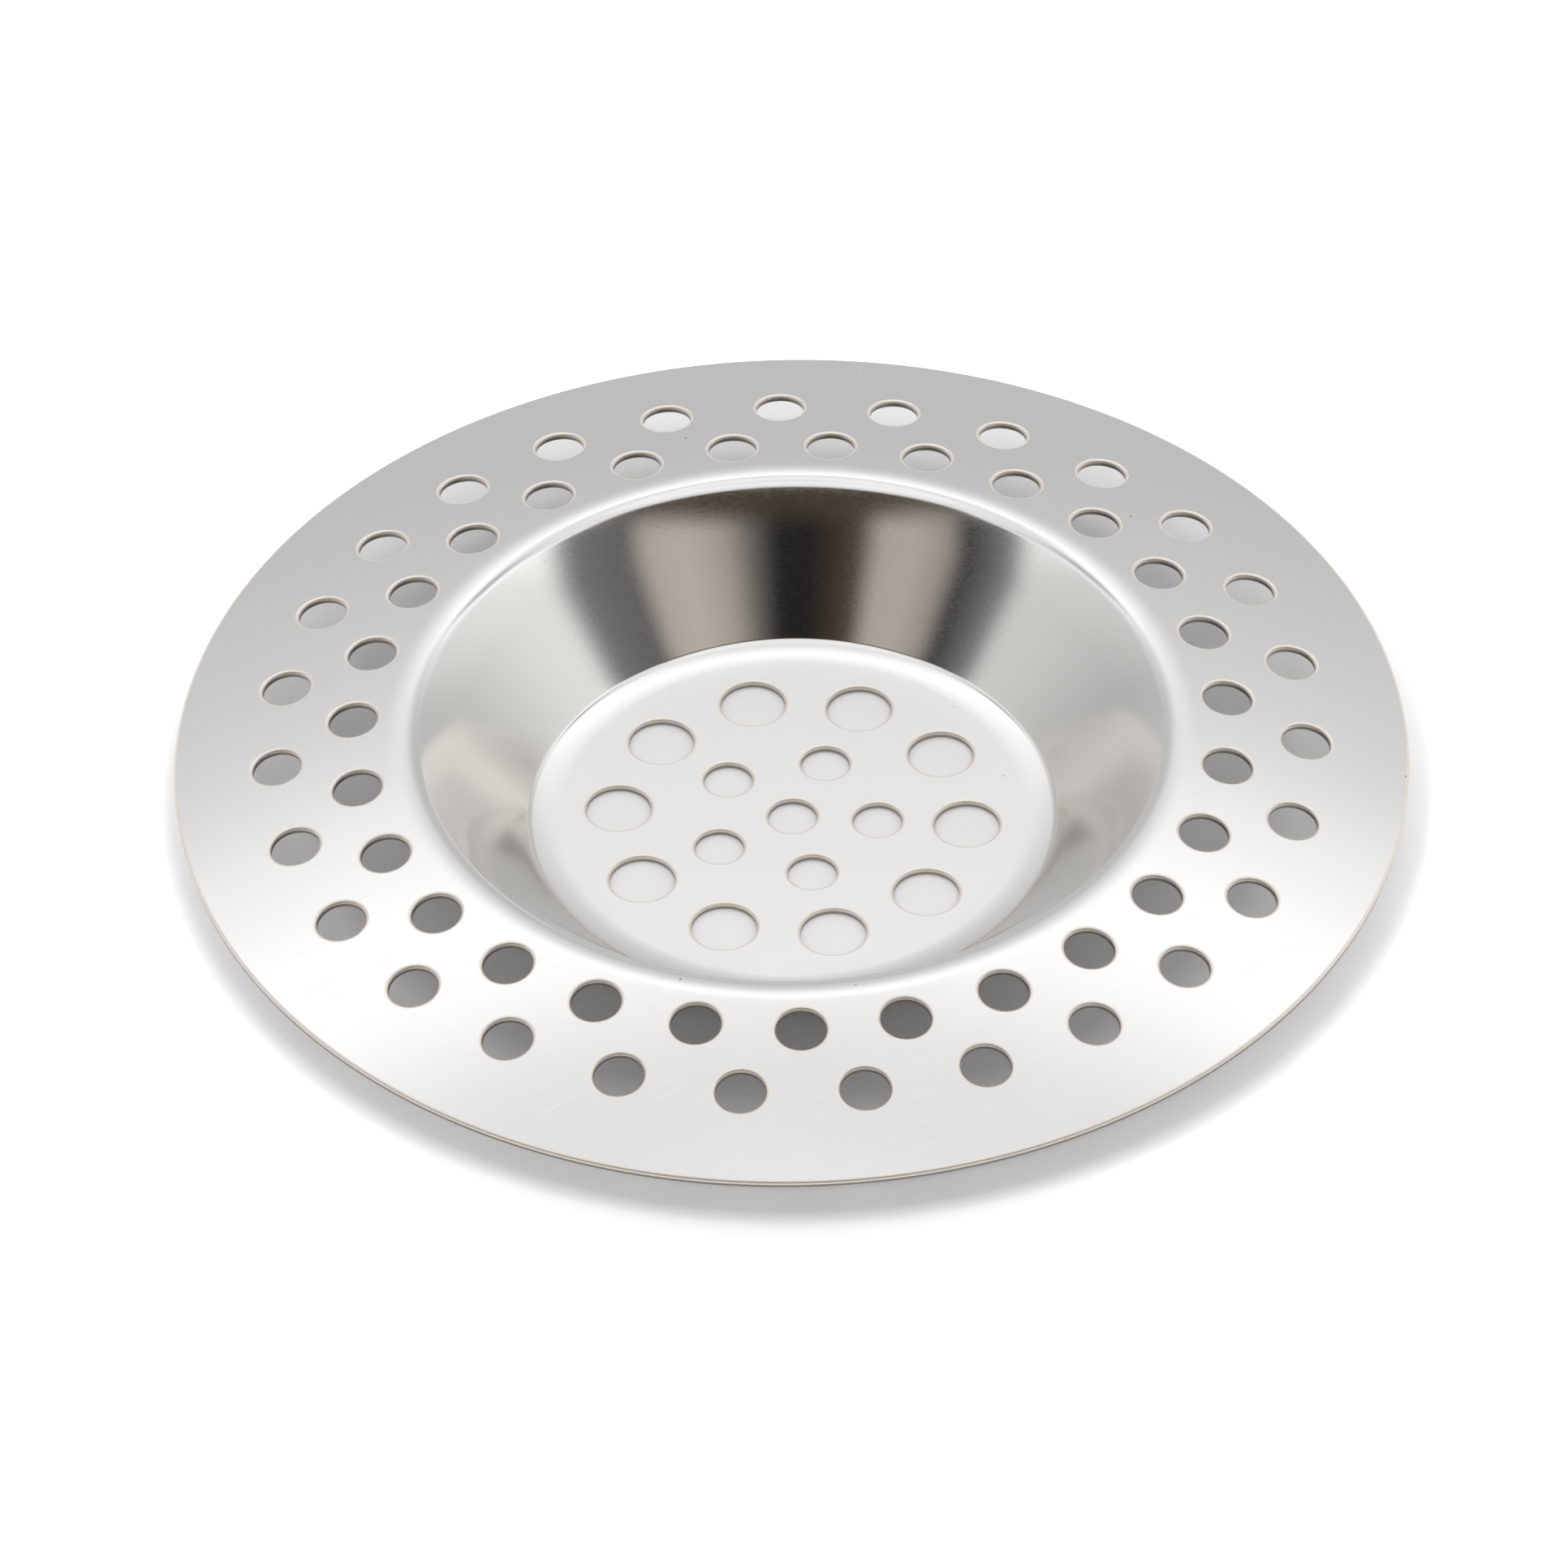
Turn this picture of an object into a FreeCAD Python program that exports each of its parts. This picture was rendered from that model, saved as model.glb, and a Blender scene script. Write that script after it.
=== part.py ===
import FreeCAD, Part
import math
import os
import Sketcher

# Drop-in sink strainer: one disc of stainless sheet, drawn into a shallow conical bowl, crowned at the rim
# and pierced. The origin is under the middle of the bowl's floor, with +Z up out of the bowl. The X axis is
# the one line about which all the rings of holes mirror.

doc = FreeCAD.newDocument("sink_strainer")

# Driving dimensions in millimetres, counts of holes, and the place of each ring of holes: a share of the way
# from the bowl's mouth to the rim's edge, or from the axis to the foot of the bowl's wall. The mouth and the
# floor are measured to the sharp corners that the wall would make without its bends.
DRIVING = {
    "sheet_thickness": 0.4,
    "rim_diameter": 75.0,
    "rim_height": 5.5,
    "crown_radius": 190.0,
    "mouth_diameter": 45.7,
    "floor_diameter": 31.8,
    "shoulder_bend_radius": 2.0,
    "knuckle_bend_radius": 0.6,
    "rim_hole_diameter": 3.0,
    "rim_hole_count": 27,
    "outer_ring_share": 0.57,
    "inner_ring_share": 0.257,
    "floor_hole_diameter": 4.0,
    "floor_hole_count": 10,
    "floor_ring_share": 0.672,
    "middle_hole_diameter": 3.0,
    "middle_hole_count": 5,
    "middle_ring_share": 0.328,
    "centre_hole_diameter": 3.0,
}
sizes = doc.addObject("Spreadsheet::Sheet", "sizes")
for row, (alias, value) in enumerate(DRIVING.items(), start=1):
    sizes.set(f"A{row}", alias)
    sizes.set(f"B{row}", str(value))
    sizes.setAlias(f"B{row}", alias)
doc.recompute()

# Sizes that follow from the driving dimensions, as expressions in them
RIM_RADIUS = "sizes.rim_diameter / 2"
MOUTH_RADIUS = "sizes.mouth_diameter / 2"
FLOOR_RADIUS = "sizes.floor_diameter / 2"
FLANGE_WIDTH = f"({RIM_RADIUS} - {MOUTH_RADIUS})"
OUTER_RING_RADIUS = f"({MOUTH_RADIUS} + sizes.outer_ring_share * {FLANGE_WIDTH})"
INNER_RING_RADIUS = f"({MOUTH_RADIUS} + sizes.inner_ring_share * {FLANGE_WIDTH})"
FLOOR_RING_RADIUS = f"sizes.floor_ring_share * {FLOOR_RADIUS}"
MIDDLE_RING_RADIUS = f"sizes.middle_ring_share * {FLOOR_RADIUS}"
UNDER_CROWN_RADIUS = "(sizes.crown_radius - sizes.sheet_thickness)"
CROWN_CENTRE_HEIGHT = f"(sizes.rim_height - sqrt({UNDER_CROWN_RADIUS}^2 - ({RIM_RADIUS})^2))"
RIM_HALF_PITCH = "180 deg / sizes.rim_hole_count"
MIDDLE_HALF_PITCH = "180 deg / sizes.middle_hole_count"

dish = doc.addObject("PartDesign::Body", "strainer_dish")
dish.Label = "strainer_dish"
datum = {feature.Role: feature for feature in dish.Origin.OriginFeatures}

# How a sketch numbers the points of a line or arc, its origin and its upright axis
START, END, CENTRE = range(1, 4)
ORIGIN = (-1, START)
UPRIGHT_INDEX = -2


def new_sketch(name, plane):
    """An empty sketch on one of the dish's origin planes."""
    sketch = dish.newObject("Sketcher::SketchObject", name)
    sketch.AttachmentSupport = (datum[plane], [""])
    sketch.MapMode = "FlatFace"
    return sketch


def relate(sketch, kind, *places):
    """Tie points or lines of a sketch to each other, with no size."""
    sketch.addConstraint(Sketcher.Constraint(kind, *places))


def dimension(sketch, name, expression, kind, *places):
    """Give a sketch a named dimension that follows the sizes."""
    number = sketch.addConstraint(Sketcher.Constraint(kind, *places, sketch.evalExpression(expression)))
    sketch.renameConstraint(number, name)
    sketch.setExpression(f"Constraints.{name}", expression)


def build(feature):
    """Work a feature out as the dish's latest state."""
    dish.Tip = feature
    doc.recompute()
    if "Invalid" in feature.State or "Error" in feature.State:
        raise RuntimeError(f"{feature.Name} could not be built")


# Half section of the sheet. The upper side runs from the axis along the floor of the bowl, up the wall and
# out over the crowned rim, and the lower side follows it one thickness away. The crown is part of a ball
# whose middle lies on the axis. The section is drawn with sharp corners first, and its bends come after.
section = new_sketch("sheet_section", "XZ_Plane")
thickness = sizes.sheet_thickness
rim_low = sizes.rim_height
rim_radius = section.evalExpression(RIM_RADIUS)
mouth_radius = section.evalExpression(MOUTH_RADIUS)
floor_radius = section.evalExpression(FLOOR_RADIUS)
crown_centre_height = section.evalExpression(CROWN_CENTRE_HEIGHT)
mouth_height = crown_centre_height + math.sqrt(sizes.crown_radius**2 - mouth_radius**2)


def point(radius, height):
    return FreeCAD.Vector(radius, height, 0)


def line(start, end):
    return section.addGeometry(Part.LineSegment(start, end))


def crown_arc(radius):
    """An arc of the crown, from the rim's edge inwards to the bowl's mouth."""
    circle = Part.Circle(point(0, crown_centre_height), FreeCAD.Vector(0, 0, 1), radius)
    arc = Part.ArcOfCircle(circle, math.acos(rim_radius / radius), math.acos(mouth_radius / radius))
    return section.addGeometry(arc)


floor_top = line(point(0, thickness), point(floor_radius, thickness))
wall_top = line(point(floor_radius, thickness), point(mouth_radius, mouth_height))
crown_top = crown_arc(sizes.crown_radius)
rim_edge = line(point(rim_radius, rim_low + thickness), point(rim_radius, rim_low))
crown_under = crown_arc(sizes.crown_radius - thickness)
wall_under = line(point(mouth_radius, mouth_height - thickness), point(floor_radius, 0))
floor_under = line(point(floor_radius, 0), point(0, 0))
axis_line = line(point(0, 0), point(0, thickness))
mouth_corner = section.addGeometry(Part.Point(point(mouth_radius, mouth_height)), True)

relate(section, "Coincident", axis_line, START, *ORIGIN)
relate(section, "Coincident", axis_line, END, floor_top, START)
relate(section, "Coincident", floor_top, END, wall_top, START)
relate(section, "Coincident", wall_top, END, crown_top, END)
relate(section, "Coincident", crown_top, START, rim_edge, START)
relate(section, "Coincident", rim_edge, END, crown_under, START)
relate(section, "Coincident", crown_under, END, wall_under, START)
relate(section, "Coincident", wall_under, END, floor_under, START)
relate(section, "Coincident", floor_under, END, axis_line, START)
relate(section, "Vertical", axis_line)
relate(section, "Vertical", rim_edge)
relate(section, "Horizontal", floor_top)
relate(section, "Horizontal", floor_under)
relate(section, "Parallel", wall_top, wall_under)
relate(section, "PointOnObject", crown_top, CENTRE, UPRIGHT_INDEX)
relate(section, "Coincident", crown_top, CENTRE, crown_under, CENTRE)
relate(section, "PointOnObject", mouth_corner, START, wall_top)
relate(section, "PointOnObject", mouth_corner, START, crown_top)

dimension(section, "floor_thickness", "sizes.sheet_thickness", "DistanceY", axis_line, START, axis_line, END)
dimension(section, "wall_thickness", "sizes.sheet_thickness", "Distance", mouth_corner, START, wall_under)
dimension(section, "floor_radius", FLOOR_RADIUS, "DistanceX", *ORIGIN, floor_top, END)
dimension(section, "mouth_radius", MOUTH_RADIUS, "DistanceX", *ORIGIN, mouth_corner, START)
dimension(section, "rim_radius", RIM_RADIUS, "DistanceX", *ORIGIN, rim_edge, END)
dimension(section, "rim_height", "sizes.rim_height", "DistanceY", *ORIGIN, rim_edge, END)
dimension(section, "crown_radius", "sizes.crown_radius", "Radius", crown_top)
dimension(section, "under_crown_radius", UNDER_CROWN_RADIUS, "Radius", crown_under)
doc.recompute()


def middle(stretch):
    """The point halfway along a stretch of the section."""
    curve = section.Geometry[stretch]
    return curve.value((curve.FirstParameter + curve.LastParameter) / 2)


def bend(name, one, other, radius):
    """Round the corner between two neighbouring stretches of the section."""
    rounding = len(section.Geometry)
    section.fillet(one, other, middle(one), middle(other), section.evalExpression(radius), True, True)
    dimension(section, name, radius, "Radius", rounding)


# Each bend has its stated radius on its inner side and one thickness more on its outer side
bend("shoulder_top", wall_top, crown_top, "sizes.shoulder_bend_radius + sizes.sheet_thickness")
bend("shoulder_under", crown_under, wall_under, "sizes.shoulder_bend_radius")
bend("knuckle_top", floor_top, wall_top, "sizes.knuckle_bend_radius")
bend("knuckle_under", wall_under, floor_under, "sizes.knuckle_bend_radius + sizes.sheet_thickness")
doc.recompute()
if not section.FullyConstrained:
    raise RuntimeError("the section of the sheet is not settled by its sizes")

drawn_sheet = dish.newObject("PartDesign::Revolution", "drawn_sheet")
drawn_sheet.Profile = section
drawn_sheet.ReferenceAxis = (section, ["V_Axis"])
drawn_sheet.Angle = 360
build(drawn_sheet)

# A punch starts clear above the sheet and ends clear below it
STROKE = "4 * sizes.sheet_thickness"


def pierce(name, diameter, place, count=None):
    """Pierce a round hole through the sheet, and repeat it about the axis where a count is given."""
    uncut = dish.Tip.Shape.Volume
    outline = new_sketch(f"{name}_outline", "XY_Plane")
    outline.setExpression("AttachmentOffset", place)
    circle = outline.addGeometry(Part.Circle())
    relate(outline, "Coincident", circle, CENTRE, *ORIGIN)
    dimension(outline, "diameter", diameter, "Diameter", circle)
    hole = dish.newObject("PartDesign::Pocket", name)
    hole.Profile = outline
    hole.SideType = "Symmetric"
    hole.setExpression("Length", STROKE)
    build(hole)
    if count:
        ring = dish.newObject("PartDesign::PolarPattern", f"{name}_ring")
        ring.Originals = [hole]
        ring.Axis = (datum["Z_Axis"], [""])
        ring.Angle = 360
        ring.setExpression("Occurrences", count)
        build(ring)
    if dish.Tip.Shape.Volume >= uncut:
        raise RuntimeError(f"{name} missed the sheet")


def in_rim(ring_radius, turn):
    """Place of a rim hole, square to the sheet: its axis leaves the middle of the crown's ball."""
    tilt = f"(rotationz({turn}) * rotationy(asin({ring_radius} / sizes.crown_radius)))"
    surface = f"vector(0; 0; {CROWN_CENTRE_HEIGHT}) + {tilt} * vector(0; 0; sizes.crown_radius)"
    return f"placement({surface}; {tilt})"


def in_floor(ring_radius, turn):
    """Place of a hole in the flat floor of the bowl."""
    return f"placement(rotationz({turn}) * vector({ring_radius}; 0; 0); rotationz({turn}))"


# The two rings in the rim are staggered by half a pitch. In the floor the middle ring points the other way.
rim_hole, rim_count = "sizes.rim_hole_diameter", "sizes.rim_hole_count"
pierce("outer_rim_hole", rim_hole, in_rim(OUTER_RING_RADIUS, RIM_HALF_PITCH), rim_count)
pierce("inner_rim_hole", rim_hole, in_rim(INNER_RING_RADIUS, "0 deg"), rim_count)
floor_hole, floor_count = "sizes.floor_hole_diameter", "sizes.floor_hole_count"
pierce("floor_hole", floor_hole, in_floor(FLOOR_RING_RADIUS, "0 deg"), floor_count)
middle_hole, middle_count = "sizes.middle_hole_diameter", "sizes.middle_hole_count"
pierce("middle_hole", middle_hole, in_floor(MIDDLE_RING_RADIUS, MIDDLE_HALF_PITCH), middle_count)
pierce("centre_hole", "sizes.centre_hole_diameter", in_floor("0", "0 deg"))

for item in doc.Objects:
    if "Invalid" in item.State or "Error" in item.State:
        raise RuntimeError(f"{item.Name} could not be built")
if dish.Shape.isNull() or not dish.Shape.isValid() or len(dish.Shape.Solids) != 1:
    raise RuntimeError("the dish is not one sound solid")

os.makedirs("parts", exist_ok=True)
dish.Shape.exportStep(f"parts/{dish.Label}.step")
print(f"{dish.Label}: {dish.Shape.Volume:.1f} cubic millimetres of sheet")
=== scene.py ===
import math

import bmesh
import bpy
from mathutils import Matrix, Quaternion, Vector


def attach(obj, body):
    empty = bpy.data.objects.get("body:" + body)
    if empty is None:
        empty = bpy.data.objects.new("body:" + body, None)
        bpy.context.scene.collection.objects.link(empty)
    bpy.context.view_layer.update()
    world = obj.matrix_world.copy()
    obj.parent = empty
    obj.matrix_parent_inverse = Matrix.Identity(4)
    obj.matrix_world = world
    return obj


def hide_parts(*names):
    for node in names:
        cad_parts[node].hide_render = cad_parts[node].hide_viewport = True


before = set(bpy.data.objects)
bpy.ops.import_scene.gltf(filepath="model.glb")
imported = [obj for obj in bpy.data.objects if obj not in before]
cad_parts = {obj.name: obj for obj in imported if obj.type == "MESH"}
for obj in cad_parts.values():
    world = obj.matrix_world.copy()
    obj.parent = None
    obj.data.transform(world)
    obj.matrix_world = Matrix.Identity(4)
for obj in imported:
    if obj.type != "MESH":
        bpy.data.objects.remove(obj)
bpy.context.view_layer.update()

# The dish is the whole strainer: one disc of stainless sheet, drawn in a press to a shallow conical bowl
# with a crowned rim round it, then pierced with four rings of holes and one hole in the middle. The punches
# come from above, so the upper edge of every hole and of the rim is rolled over and the lower edge is sharp.
MM = 0.001
sheet_thickness = 0.4 * MM
rim_radius = 37.5 * MM
rim_height = 5.5 * MM
crown_radius = 190 * MM
mouth_radius = 22.85 * MM
floor_radius = 15.9 * MM
shoulder_radius = 1.4 * MM
rim_ease_radius, rim_ease_turn = 5 * MM, math.radians(13)
wall_ease_radius, wall_ease_turn = 32 * MM, math.radians(5)
knuckle_radius = 0.6 * MM
floor_ease_radius, floor_ease_turn = 8.5 * MM, math.radians(11)
edge_roll = 0.2 * MM

rim_hole_radius, rim_hole_count = 1.5 * MM, 27
inner_ring_radius, outer_ring_radius = 26.615 * MM, 31.2 * MM
floor_hole_radius, floor_hole_count, floor_ring_radius = 2.0 * MM, 10, 10.685 * MM
middle_hole_radius, middle_hole_count, middle_ring_radius = 1.5 * MM, 5, 5.215 * MM

# The section's corners, in the plane of X and Z. The crown is part of a large ball
UP = Vector((0, 0, 1))
under_radius = crown_radius - sheet_thickness
ball_centre = Vector((0, 0, rim_height - math.sqrt(under_radius**2 - rim_radius**2)))
floor_corner = Vector((floor_radius, 0, sheet_thickness))
mouth_corner = Vector((mouth_radius, 0, ball_centre.z + math.sqrt(crown_radius**2 - mouth_radius**2)))
up_wall = (mouth_corner - floor_corner).normalized()
wall_angle = math.atan2(up_wall.z, up_wall.x)
into_bowl = Vector((-up_wall.z, 0, up_wall.x))

# The floor's margin turns up slightly before the knuckle, whose middle lies one bend radius off the wall
lift = (floor_ease_radius - knuckle_radius) * (1 - math.cos(floor_ease_turn))
climb = (knuckle_radius * (1 - into_bowl.z) + lift) / up_wall.z
knuckle_centre = floor_corner + up_wall * climb + into_bowl * knuckle_radius
to_knuckle = Matrix.Rotation(-floor_ease_turn, 3, "Y") @ -UP
floor_ease_centre = knuckle_centre + to_knuckle * (knuckle_radius - floor_ease_radius)
floor_ease_start = floor_ease_centre - UP * floor_ease_radius

# The wall bows slightly over its top before the shoulder, and the shoulder opens slowly into the rim. The
# shoulder's middle lies one bend radius under the bowed wall and under the opening
bow = (wall_ease_radius - shoulder_radius) * (1 - math.cos(wall_ease_turn))
line_foot = floor_corner - into_bowl * (shoulder_radius + bow) - ball_centre
along = line_foot.dot(up_wall)
rim_ease_depth, rim_ease_step = crown_radius - rim_ease_radius, rim_ease_radius - shoulder_radius
shoulder_from_ball = math.sqrt(
    rim_ease_depth**2 + rim_ease_step**2 + 2 * rim_ease_depth * rim_ease_step * math.cos(rim_ease_turn)
)
reach = math.sqrt(along**2 - line_foot.length_squared + shoulder_from_ball**2) - along
shoulder_centre = ball_centre + line_foot + up_wall * reach
shoulder_start = shoulder_centre + Matrix.Rotation(wall_ease_turn, 3, "Y") @ into_bowl * shoulder_radius
wall_ease_share = wall_ease_radius / shoulder_radius - 1
wall_ease_centre = shoulder_centre + (shoulder_centre - shoulder_start) * wall_ease_share
wall_ease_start = wall_ease_centre + into_bowl * wall_ease_radius
shoulder_lean = math.atan2(shoulder_centre.x, shoulder_centre.z - ball_centre.z)
rim_lean = shoulder_lean + math.asin(rim_ease_step * math.sin(rim_ease_turn) / shoulder_from_ball)
rim_ease_centre = ball_centre + Matrix.Rotation(rim_lean, 3, "Y") @ UP * rim_ease_depth
shoulder_end_radius = crown_radius * math.sin(rim_lean)

side_steps = 10
around_steps = rim_hole_count * side_steps
hole_steps = 4 * side_steps
bend_steps, ease_steps, wall_steps, margin_steps, roll_steps = 12, 6, 10, 8, 5
seam_gap = 0.005 * MM


def sweep(bm, geometry, **how):
    """Spin geometry and give back what ends up at the far end."""
    return bmesh.ops.spin(bm, geom=geometry, **how)["geom_last"]


dish = bmesh.new()

# Section from the floor round the knuckle, up the wall and over the shoulder to the rim
UPWARD, OVER = (0, -1, 0), (0, 1, 0)
knuckle_sweep = wall_angle - floor_ease_turn
shoulder_sweep = wall_angle + rim_lean - wall_ease_turn - rim_ease_turn
tip = [dish.verts.new(floor_ease_start)]
tip = sweep(dish, tip, cent=floor_ease_centre, axis=UPWARD, angle=floor_ease_turn, steps=ease_steps)
tip = sweep(dish, tip, cent=knuckle_centre, axis=UPWARD, angle=knuckle_sweep, steps=bend_steps)
wall_step = (wall_ease_start - tip[0].co) / wall_steps
tip = sweep(dish, tip, axis=UP, dvec=wall_step, steps=wall_steps)
tip = sweep(dish, tip, cent=wall_ease_centre, axis=OVER, angle=wall_ease_turn, steps=ease_steps)
tip = sweep(dish, tip, cent=shoulder_centre, axis=OVER, angle=shoulder_sweep, steps=bend_steps)
sweep(dish, tip, cent=rim_ease_centre, axis=OVER, angle=rim_ease_turn, steps=ease_steps)

# Section of the rim's plain margin, outside the holes, then both sections swept round
ring_border = (inner_ring_radius + outer_ring_radius) / 2
margin_radius = 2 * outer_ring_radius - ring_border
margin_lean = math.asin(margin_radius / crown_radius)
margin_sweep = math.asin(rim_radius / crown_radius) - margin_lean
tip = [dish.verts.new(ball_centre + Matrix.Rotation(margin_lean, 3, "Y") @ UP * crown_radius)]
sweep(dish, tip, cent=ball_centre, axis=OVER, angle=margin_sweep, steps=margin_steps)
section = dish.verts[:] + dish.edges[:]
sweep(dish, section, axis=UP, angle=math.tau, steps=around_steps, use_merge=True)

# Patch of the rim round one hole of each ring, square to the crowned sheet, repeated round the rim
half_pitch = math.pi / rim_hole_count
hole_plane = math.sqrt(crown_radius**2 - rim_hole_radius**2)
carrier = bpy.data.meshes.new("rim_patch")
for ring_radius, turn, inner, outer in (
    (inner_ring_radius, 0, shoulder_end_radius, ring_border),
    (outer_ring_radius, half_pitch, ring_border, margin_radius),
):
    patch = bmesh.new()
    bmesh.ops.create_grid(patch, x_segments=side_steps, y_segments=side_steps, size=1)
    inside = [vert for vert in patch.verts if not vert.is_boundary]
    bmesh.ops.delete(patch, geom=inside, context="VERTS")
    bmesh.ops.delete(patch, geom=patch.faces[:], context="FACES_ONLY")
    for vert in patch.verts:
        lean = math.asin((inner + outer + vert.co.x * (outer - inner)) / 2 / crown_radius)
        around = Matrix.Rotation(vert.co.y * half_pitch, 3, "Z")
        vert.co = ball_centre + around @ Matrix.Rotation(lean, 3, "Y") @ UP * crown_radius
    tilt = Matrix.Rotation(math.asin(ring_radius / crown_radius), 4, "Y")
    place = Matrix.Translation(ball_centre) @ tilt @ Matrix.Translation(UP * hole_plane)
    bmesh.ops.create_circle(patch, segments=hole_steps, radius=rim_hole_radius, matrix=place)
    spokes = bmesh.ops.bridge_loops(patch, edges=patch.edges[:])["edges"]
    bmesh.ops.subdivide_edges(patch, edges=spokes, cuts=2, use_grid_fill=True)
    bmesh.ops.rotate(patch, verts=patch.verts[:], matrix=Matrix.Rotation(turn, 3, "Z"))
    for vert in patch.verts:
        vert.co = ball_centre + (vert.co - ball_centre).normalized() * crown_radius
    whole = patch.verts[:] + patch.edges[:] + patch.faces[:]
    copies = rim_hole_count - 1
    sweep(patch, whole, axis=UP, angle=2 * half_pitch * copies, steps=copies, use_duplicate=True)
    patch.to_mesh(carrier)
    dish.from_mesh(carrier)
    patch.free()
bpy.data.meshes.remove(carrier)
bmesh.ops.remove_doubles(dish, verts=dish.verts[:], dist=seam_gap)

# Floor of the bowl: filled between the foot of the wall and a collar round each hole
collar = 0.4 * MM
floor_top = floor_corner.z + seam_gap
outlines = [edge for edge in dish.edges if edge.is_boundary and edge.verts[0].co.z < floor_top]
holes = []
for radius, count, ring_radius, turn in (
    (floor_hole_radius, floor_hole_count, floor_ring_radius, 0),
    (middle_hole_radius, middle_hole_count, middle_ring_radius, math.pi / middle_hole_count),
    (middle_hole_radius, 1, 0, 0),
):
    for number in range(count):
        around = Matrix.Rotation(turn + number * math.tau / count, 4, "Z")
        centre = around @ Vector((ring_radius, 0, floor_corner.z))
        place = Matrix.Translation(centre)
        circle = bmesh.ops.create_circle(dish, segments=hole_steps, radius=radius + collar, matrix=place)
        edges = list(dict.fromkeys(edge for vert in circle["verts"] for edge in vert.link_edges))
        holes.append((centre, radius / (radius + collar), edges))
        outlines += edges
bmesh.ops.triangle_fill(dish, edges=outlines, use_beauty=True, normal=UP)
for centre, shrink, edges in holes:
    inward = bmesh.ops.extrude_edge_only(dish, edges=edges)["geom"]
    hole_verts = [item for item in inward if isinstance(item, bmesh.types.BMVert)]
    bmesh.ops.scale(dish, vec=(shrink, shrink, 1), space=Matrix.Translation(-centre), verts=hole_verts)

# Thickness, then the rolled upper edges of the holes and the rim
bmesh.ops.recalc_face_normals(dish, faces=dish.faces[:])
upper_edges = [edge for edge in dish.edges if edge.is_boundary]
bmesh.ops.solidify(dish, geom=dish.faces[:], thickness=sheet_thickness)
rolls = bmesh.ops.bevel(
    dish,
    geom=upper_edges,
    offset=edge_roll,
    offset_type="OFFSET",
    affect="EDGES",
    segments=roll_steps,
    profile=0.5,
    material=-1,
)
bmesh.ops.recalc_face_normals(dish, faces=dish.faces[:])

# Each face gets its material: a cut stands nearly square to the sheet. The lip is set off by sharp borders
SHEET, WALL, CUT, LIP = range(4)
cut_lean = 0.3
crease = math.radians(50)
for face in dish.faces:
    centre = face.calc_center_median()
    radius = centre.xy.length
    off_sheet = UP if radius < floor_radius else (centre - ball_centre).normalized()
    if floor_radius < radius < shoulder_start.x:
        face.material_index = WALL
    elif abs(face.normal.dot(off_sheet)) < cut_lean:
        face.material_index = CUT
    face.smooth = True
for face in rolls["faces"]:
    face.material_index = LIP
for edge in dish.edges:
    across_lip = len({face.material_index == LIP for face in edge.link_faces}) > 1
    edge.smooth = not across_lip and edge.calc_face_angle(0) < crease
mesh = bpy.data.meshes.new("strainer_sheet")
dish.to_mesh(mesh)
dish.free()
strainer = bpy.data.objects.new("strainer_sheet", mesh)
bpy.context.scene.collection.objects.link(strainer)
even_shading = strainer.modifiers.new("even_shading", "WEIGHTED_NORMAL")
even_shading.keep_sharp = True


def linear(hex_colour):
    """An sRGB hex colour as linear RGBA."""
    channels = [int(hex_colour[i : i + 2], 16) / 255 for i in (1, 3, 5)]
    return [c / 12.92 if c <= 0.04045 else ((c + 0.055) / 1.055) ** 2.4 for c in channels] + [1]


def add_node(tree, kind, inputs, stops=(), **settings):
    """Add a node to a tree with its settings and colour stops, and give each input a value or a link."""
    node = tree.nodes.new(kind)
    for name, value in settings.items():
        setattr(node, name, value)
    for name, value in inputs.items():
        if isinstance(value, bpy.types.NodeSocket):
            tree.links.new(value, node.inputs[name])
        else:
            node.inputs[name].default_value = value
    for position, colour in stops:
        ends = {0: 0, 1: -1}
        elements = node.color_ramp.elements
        stop = elements[ends[position]] if position in ends else elements.new(position)
        stop.color = colour
    return node


def bare_steel(name, colour, roughness):
    """A bare steel material on the dish, with its tree and its shader."""
    material = bpy.data.materials.new(name)
    material.use_nodes = True
    mesh.materials.append(material)
    tree = material.node_tree
    shader = tree.nodes["Principled BSDF"]
    shader.inputs["Base Color"].default_value = linear(colour)
    shader.inputs["Metallic"].default_value = 1
    shader.inputs["Roughness"].default_value = roughness
    return tree, shader


def work_surface(tree, shader, pattern, relief, spread, depth):
    """Let the roughness follow a noise to both sides of its value, and press a relief into the surface."""
    noise_low, noise_high = 0.3, 0.7
    roughness = shader.inputs["Roughness"]
    follow = {
        "Value": pattern,
        "From Min": noise_low,
        "From Max": noise_high,
        "To Min": roughness.default_value - spread,
        "To Max": roughness.default_value + spread,
    }
    tree.links.new(add_node(tree, "ShaderNodeMapRange", follow).outputs["Result"], roughness)
    bump = add_node(tree, "ShaderNodeBump", {"Height": relief, "Strength": 1, "Distance": depth})
    tree.links.new(bump.outputs["Normal"], shader.inputs["Normal"])


# Sockets of a node that mixes colours: the two colours and the result
COLOUR_A, COLOUR_B, MIXED = 6, 7, 2

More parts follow.
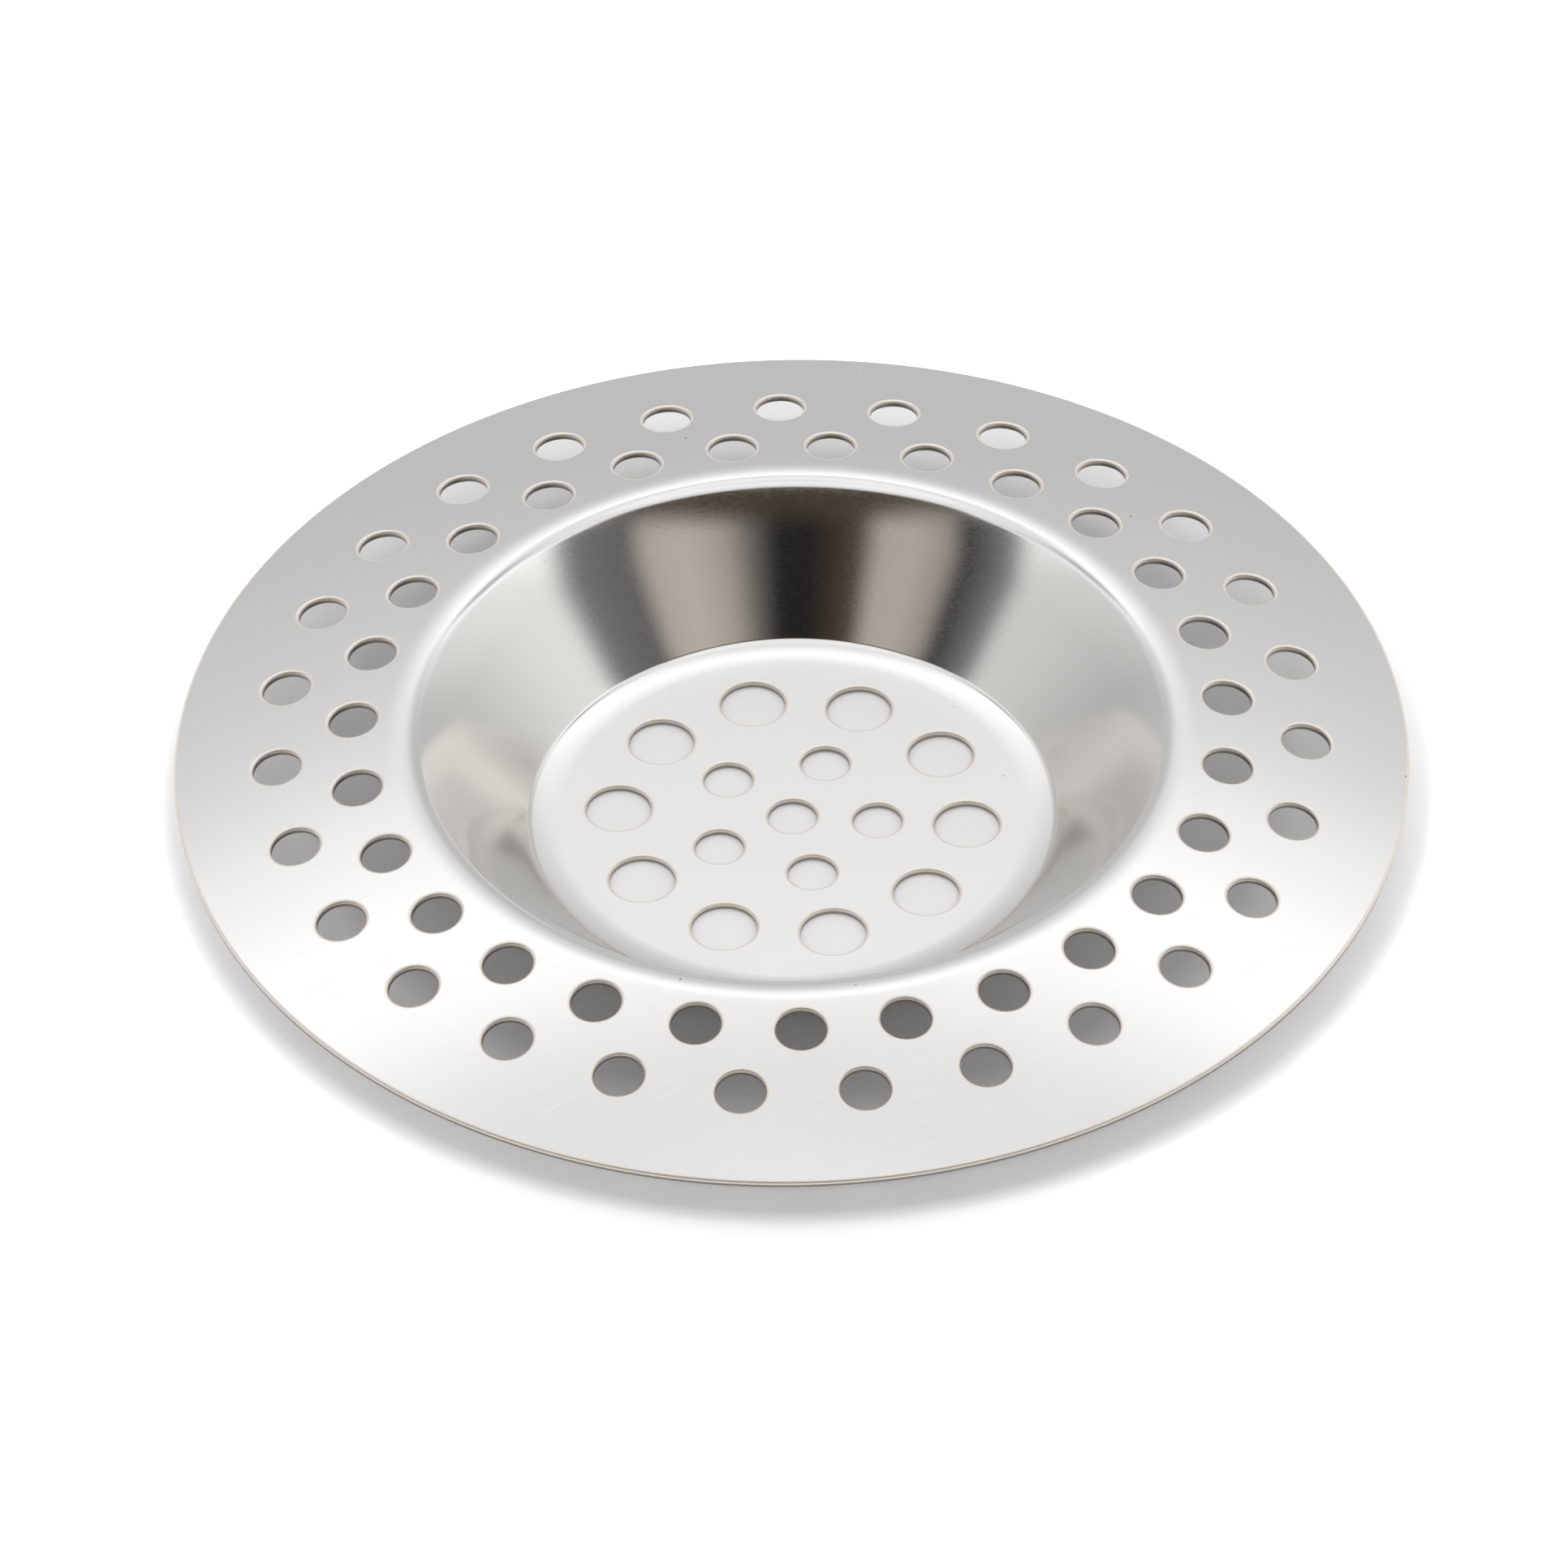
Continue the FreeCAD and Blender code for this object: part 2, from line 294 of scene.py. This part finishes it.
# Cold rolled stainless: a satin mirror, a little cloudy, with the fine grain of the rolls along the sheet, a
# few hairline scratches from handling and tiny dark pits. The grain is drawn several times coarser than it
# is, to show in the render.
sheet_colour, pit_colour = "#dbdad8", "#8f8a84"
cloud_size, grain_length, grain_width = 9 * MM, 5 * MM, 0.2 * MM
scratch_length, scratch_width, scratch_depth = 7 * MM, 0.09 * MM, 0.0006 * MM
scratch_edge, scratch_core, scratch_weight = 0.81, 0.87, 2.2
pit_spacing, pit_core, pit_edge = 4 * MM, 0.012, 0.03
tree, shader = bare_steel("cold_rolled_stainless", sheet_colour, 0.15)
place = add_node(tree, "ShaderNodeTexCoord", {}).outputs["Object"]
cloud = add_node(tree, "ShaderNodeTexNoise", {"Vector": place, "Scale": 1 / cloud_size, "Detail": 3})
stretch = {"Vector": place, "Scale": (1 / grain_length, 1 / grain_width, 1 / grain_width)}
along_rolls = add_node(tree, "ShaderNodeMapping", stretch).outputs["Vector"]
grain = add_node(tree, "ShaderNodeTexNoise", {"Vector": along_rolls, "Scale": 1, "Detail": 2})
relief = grain.outputs["Fac"]
for bearing in (25, 80, 140):
    stretch = {
        "Vector": place,
        "Rotation": (0, 0, math.radians(bearing)),
        "Scale": (1 / scratch_length, 1 / scratch_width, 1 / scratch_length),
    }
    along_scratch = add_node(tree, "ShaderNodeMapping", stretch).outputs["Vector"]
    streaks = add_node(tree, "ShaderNodeTexNoise", {"Vector": along_scratch, "Scale": 1, "Detail": 0})
    rare = {
        "Value": streaks.outputs["Fac"],
        "From Min": scratch_edge,
        "From Max": scratch_core,
        "To Max": scratch_weight,
    }
    hairlines = add_node(tree, "ShaderNodeMapRange", rare).outputs["Result"]
    cut_in = add_node(tree, "ShaderNodeMath", {0: relief, 1: hairlines}, operation="SUBTRACT")
    relief = cut_in.outputs[0]
work_surface(tree, shader, cloud.outputs["Fac"], relief, spread=0.02, depth=scratch_depth)
pits = add_node(tree, "ShaderNodeTexVoronoi", {"Vector": place, "Scale": 1 / pit_spacing})
near_pit = {"Value": pits.outputs["Distance"], "From Min": pit_core, "From Max": pit_edge}
clean = add_node(tree, "ShaderNodeMapRange", near_pit).outputs["Result"]
tone = {"Factor": clean, COLOUR_A: linear(pit_colour), COLOUR_B: linear(sheet_colour)}
pitted = add_node(tree, "ShaderNodeMix", tone, data_type="RGBA")
tree.links.new(pitted.outputs[MIXED], shader.inputs["Base Color"])

# Drawn stainless: the wall slid over the die, which left fine lines up the wall, so reflections smear
# sideways. The lines are drawn a few times coarser than they are, to show in the render.
line_spacing, line_length, line_depth = 0.25 * MM, 6 * MM, 0.0012 * MM
tree, shader = bare_steel("drawn_stainless", "#dad8d5", 0.115)
shader.inputs["Anisotropic"].default_value = 0.3
around = add_node(tree, "ShaderNodeTangent", {}, direction_type="RADIAL", axis="Z")
tree.links.new(around.outputs["Tangent"], shader.inputs["Tangent"])
place = add_node(tree, "ShaderNodeTexCoord", {}).outputs["Object"]
flat = add_node(tree, "ShaderNodeVectorMath", {0: place, 1: (1, 1, 0)}, operation="MULTIPLY")
spoke = add_node(tree, "ShaderNodeVectorMath", {0: flat.outputs[0]}, operation="NORMALIZE").outputs[0]
height = add_node(tree, "ShaderNodeSeparateXYZ", {"Vector": place}).outputs["Z"]
climb = add_node(tree, "ShaderNodeMath", {0: height, 1: line_length}, operation="DIVIDE").outputs[0]
drag = {"Vector": spoke, "W": climb, "Scale": floor_radius / line_spacing, "Detail": 2}
lines = add_node(tree, "ShaderNodeTexNoise", drag, noise_dimensions="4D").outputs["Fac"]
work_surface(tree, shader, lines, lines, spread=0.03, depth=line_depth)

# Sheared stainless: the torn edge inside the holes and round the rim, duller and darker, and rough from
# the tearing
tear_size, tear_depth = 0.12 * MM, 0.004 * MM
tree, shader = bare_steel("sheared_stainless", "#a6a19a", 0.4)
place = add_node(tree, "ShaderNodeTexCoord", {}).outputs["Object"]
torn = {"Vector": place, "Scale": 1 / tear_size, "Detail": 3}
tears = add_node(tree, "ShaderNodeTexNoise", torn).outputs["Fac"]
work_surface(tree, shader, tears, tears, spread=0.1, depth=tear_depth)

# Burnished stainless: the rolled lip, rubbed matt by the punch, so it takes light from all round. Its cream
# colour, lighter and warmer than the sheet, is partly a painted highlight of the warm light round it
bare_steel("burnished_lip_painted_highlight", "#ece6de", 0.5)

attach(strainer, "root")
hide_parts("strainer_dish")

# The camera looks down on the strainer from 42 degrees, through a long lens
view_bearing, view_height, view_roll = (math.radians(angle) for angle in (239.487, 41.978, -1.105))
view_distance, lens_over_width = 509.52 * MM, 10312 / 1932
aim_height, aim_right, aim_up = 4.0 * MM, -0.485 * MM, -0.741 * MM
nearest, furthest = 1 * MM, 10
level = math.cos(view_height)
towards = Vector((math.cos(view_bearing) * level, math.sin(view_bearing) * level, math.sin(view_height)))
right = UP.cross(towards).normalized()
near = right.cross(UP)
aim = UP * aim_height + right * aim_right + towards.cross(right) * aim_up
camera = bpy.data.objects.new("camera", bpy.data.cameras.new("camera"))
camera.location = aim + towards * view_distance
camera.rotation_mode = "QUATERNION"
camera.rotation_quaternion = towards.to_track_quat("Z", "Y") @ Quaternion((0, 0, 1), view_roll)
camera.data.lens = lens_over_width * camera.data.sensor_width
camera.data.clip_start, camera.data.clip_end = nearest, furthest
bpy.context.scene.collection.objects.link(camera)
bpy.context.scene.camera = camera


def graded(tree, value, stops):
    """The colour for a value between stops, each a place on the value's own scale and a colour."""
    first, last = stops[0][0], stops[-1][0]
    span = {"Value": value, "From Min": first, "From Max": last}
    share = add_node(tree, "ShaderNodeMapRange", span).outputs["Result"]
    ramp = [((place - first) / (last - first), colour) for place, colour in stops]
    return add_node(tree, "ShaderNodeValToRGB", {"Fac": share}, stops=ramp).outputs["Color"]


# The stage is a white light table whose glow is painted light: it glows round the strainer, and under the
# strainer it stays a matt white board in the shade. Where the glow fades in, it paints the edge of the
# strainer's shadow, which reaches a little further behind the strainer than in front
table_half_width, table_gap = 3, 0.02 * MM
painted_shadow_right, painted_shadow_back = 0.4 * MM, 4.8 * MM
floor_mesh = bpy.data.meshes.new("table_top")
table = bmesh.new()
table_place = Matrix.Translation(UP * -table_gap)
bmesh.ops.create_grid(table, x_segments=1, y_segments=1, size=table_half_width, matrix=table_place)
table.to_mesh(floor_mesh)
table.free()
table_top = bpy.data.objects.new("table_top", floor_mesh)
bpy.context.scene.collection.objects.link(table_top)
white = bpy.data.materials.new("white_board_painted_shadow")
white.use_nodes = True
floor_mesh.materials.append(white)
tree = white.node_tree
board = tree.nodes["Principled BSDF"]
board.inputs["Base Color"].default_value = linear("#fcfcfc")
board.inputs["Roughness"].default_value = 1
board.inputs["Specular IOR Level"].default_value = 0
board.inputs["Emission Color"].default_value = linear("#ffffff")

# The painted glow by the distance in millimetres from the middle of the painted shadow: low under the rim,
# where it lifts the real shade, then rising through the shadow's painted soft edge to white. Metal sees it
# begin further out, so that it lights nothing under the rim
painted_glow_levels = (
    (29, 0), (31, 0.08), (34.5, 0.05), (36.1, 0.05), (37, 0.24), (38.6, 0.28), (39.4, 0.47), (39.9, 0.64),
    (40.6, 0.7),
)
held_back = 20 * MM
path = add_node(tree, "ShaderNodeLightPath", {}).outputs
place = add_node(tree, "ShaderNodeTexCoord", {}).outputs["Object"]
painted_shadow_centre = right * painted_shadow_right - near * painted_shadow_back
away = add_node(tree, "ShaderNodeVectorMath", {0: place, 1: painted_shadow_centre}, operation="DISTANCE")
pulled = {0: path["Is Camera Ray"], 1: held_back, 2: away.outputs["Value"]}
reach = add_node(tree, "ShaderNodeMath", pulled, operation="MULTIPLY_ADD").outputs[0]
stops = [(distance * MM + held_back, (level, level, level, 1)) for distance, level in painted_glow_levels]
glow = graded(tree, reach, stops)
seen = path["Is Camera Ray"]
for ray in ("Is Glossy Ray", "Is Transmission Ray"):
    seen = add_node(tree, "ShaderNodeMath", {0: seen, 1: path[ray]}, operation="MAXIMUM").outputs[0]
glow = add_node(tree, "ShaderNodeMath", {0: glow, 1: seen}, operation="MULTIPLY").outputs[0]
tree.links.new(glow, board.inputs["Emission Strength"])

# The light is a white tent over the table, brightest where lamps stand behind it, with a panel on each side.
# The near side is open to a dim room: the dark camera stands between two white cards, under a dark ceiling
# and over a dark low front.
world = bpy.data.worlds.new("light_tent")
bpy.context.scene.world = world
world.use_nodes = True
tree = world.node_tree
tree.nodes.clear()

# Directions are turned so that the camera stands on the side of -Y
minus_y_bearing = math.radians(270)
facing = {"Rotation": (0, 0, minus_y_bearing - view_bearing)}
facing["Vector"] = add_node(tree, "ShaderNodeTexCoord", {}).outputs["Generated"]
turned = add_node(tree, "ShaderNodeMapping", facing, vector_type="VECTOR")
x, y, z = add_node(tree, "ShaderNodeSeparateXYZ", {"Vector": turned.outputs[0]}).outputs
towards_y = add_node(tree, "ShaderNodeMath", {0: y, 1: -1}, operation="MULTIPLY").outputs[0]
height = add_node(tree, "ShaderNodeMath", {0: z}, operation="ARCSINE").outputs[0]
from_camera = add_node(tree, "ShaderNodeMath", {0: x, 1: towards_y}, operation="ARCTAN2").outputs[0]
off_camera = add_node(tree, "ShaderNodeMath", {0: from_camera}, operation="ABSOLUTE").outputs[0]

# Light by the angle above the table, and by the angle to the left and right of the camera: degrees, level
# and warmth
tent_levels = (
    (0, 0.7, 0), (24, 0.71, 0), (34, 0.84, 0), (39, 0.95, 0), (41, 1.02, 0), (43.5, 1.22, 0), (47, 1.34, 0),
    (50, 1.52, 0), (55, 1.47, 0), (57, 1.3, 0), (59, 1.11, 0), (61, 1.05, 0), (66, 1.05, 0), (71, 1.28, 0),
    (80, 1.2, 0), (90, 1.05, 0),
)
side_levels = (
    (0, 0.62, 0), (8, 0.68, 0), (12, 0.75, 0), (18, 0.85, 0), (22, 0.92, 0), (31, 1.0, 0), (36, 1.2, 0),
    (43.5, 1.3, 0), (49, 1.1, 0), (54, 0.8, 0), (60, 1.05, 0), (90, 1.05, 0),
)
room_levels = (
    (-90, 0.8, 0.02), (-84, 0.7, 0.02), (-76, 0.3, 0), (-70, 0.17, 0), (-61, 0.05, 0), (-54, 0.41, 0.08),
    (-44, 0.54, 0.08), (-33, 0.53, 0.08), (-25, 0.07, 0.25), (-13, 0.03, 0.25), (-9, 0.017, -0.05),
    (4, 0.017, -0.05), (12, 0.16, 0.05), (22, 0.46, 0.09), (36, 0.61, 0.08), (48, 0.54, 0.08), (55, 0.15, 0),
    (71, 0.22, 0), (76, 0.45, 0), (84, 0.9, 0.02), (90, 1.0, 0.02),
)
ceiling_levels = (
    (0, 0.05, 0.25), (30, 0.07, 0.25), (55, 0.15, 0.1), (64, 0.35, 0.05), (70, 0.8, 0), (76, 1.15, 0),
    (90, 1.2, 0),
)
levels = {"low_front": (0.05, 0.045, 0.04, 1), "seam": (0.6, 0.6, 0.6, 1)}
for name, angle, table_of_levels in (
    ("tent", height, tent_levels),
    ("side", height, side_levels),
    ("room", from_camera, room_levels),
    ("ceiling", off_camera, ceiling_levels),
):
    stops = [
        (math.radians(degrees), (level * (1 + warmth), level, level * (1 - warmth), 1))
        for degrees, level, warmth in table_of_levels
    ]
    levels[name] = graded(tree, angle, stops)

# The right side is the brighter one
right_gain = 0.12
uneven = add_node(tree, "ShaderNodeMath", {0: x, 1: right_gain, 2: 1}, operation="MULTIPLY_ADD").outputs[0]
side = {0: levels["side"], 1: uneven}
levels["side"] = add_node(tree, "ShaderNodeVectorMath", side, operation="MULTIPLY").outputs[0]

# Soft borders, each from 0 to 1 between two angles in degrees
borders = {}
for name, angle, start, end in (
    ("above_front", height, 20, 28),
    ("above_room", height, 42, 49),
    ("beside", off_camera, 74, 84),
    ("past_side", off_camera, 106, 112),
    ("above_side", height, 42, 45),
    ("behind", off_camera, 122, 145),
    ("overhead", height, 53, 61),
):
    border = {"Value": angle, "From Min": math.radians(start), "From Max": math.radians(end)}
    smooth = add_node(tree, "ShaderNodeMapRange", border, interpolation_type="SMOOTHSTEP")
    borders[name] = smooth.outputs["Result"]
both = {0: borders["past_side"], 1: borders["above_side"]}
borders["past_and_above_side"] = add_node(tree, "ShaderNodeMath", both, operation="MULTIPLY").outputs[0]
light = levels["low_front"]
for border, other in (
    ("above_front", "room"),
    ("above_room", "ceiling"),
    ("beside", "side"),
    ("past_and_above_side", "seam"),
    ("behind", "tent"),
    ("overhead", "tent"),
):
    mix = {"Factor": borders[border], COLOUR_A: light, COLOUR_B: levels[other]}
    light = add_node(tree, "ShaderNodeMix", mix, data_type="RGBA").outputs[MIXED]
path = add_node(tree, "ShaderNodeLightPath", {}).outputs
mix = {"Factor": path["Is Camera Ray"], COLOUR_A: light, COLOUR_B: linear("#ffffff")}
seen = add_node(tree, "ShaderNodeMix", mix, data_type="RGBA").outputs[MIXED]
background = add_node(tree, "ShaderNodeBackground", {"Color": seen, "Strength": 1})
add_node(tree, "ShaderNodeOutputWorld", {"Surface": background.outputs[0]})

bpy.context.scene.view_settings.view_transform = "Standard"
